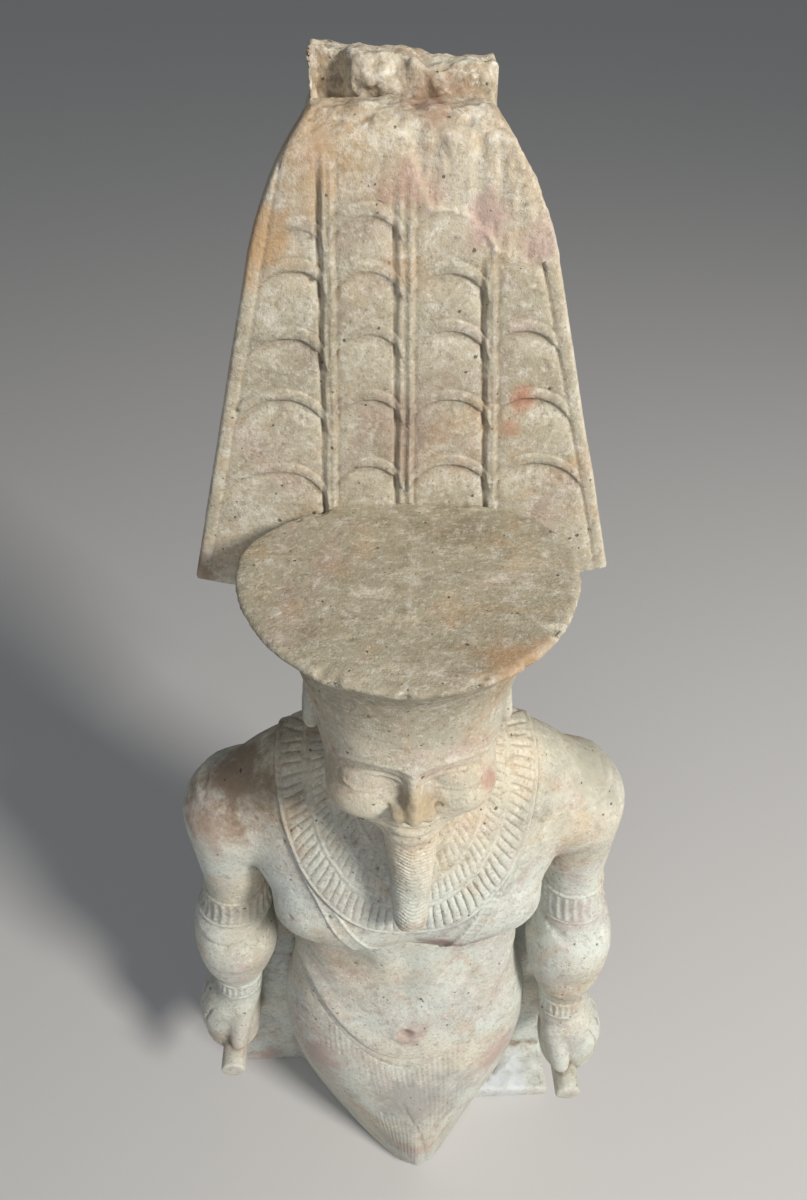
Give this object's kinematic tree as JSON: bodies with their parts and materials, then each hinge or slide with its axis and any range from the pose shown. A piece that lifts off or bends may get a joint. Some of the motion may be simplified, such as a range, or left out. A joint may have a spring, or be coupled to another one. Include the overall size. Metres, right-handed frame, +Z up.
{
  "type": "egyptian god statue fragment",
  "caption": "Carved stone figure of a standing god in a tall plumed crown, broken off at the knees, with a back pillar and a flat underside.",
  "frame": {"origin": "middle of the outer box seen from above, on the plane that the statue stands on", "axes": "+Z up, the face looks along -Y, the figure's right hand is on the -X side"},
  "size_m": [0.2454, 0.142, 0.6175],
  "materials": {
    "limestone": "worn matt carved limestone with ochre and pink staining"
  },
  "bodies": {
    "root": {"statue": "limestone"}
  },
  "joints": []
}
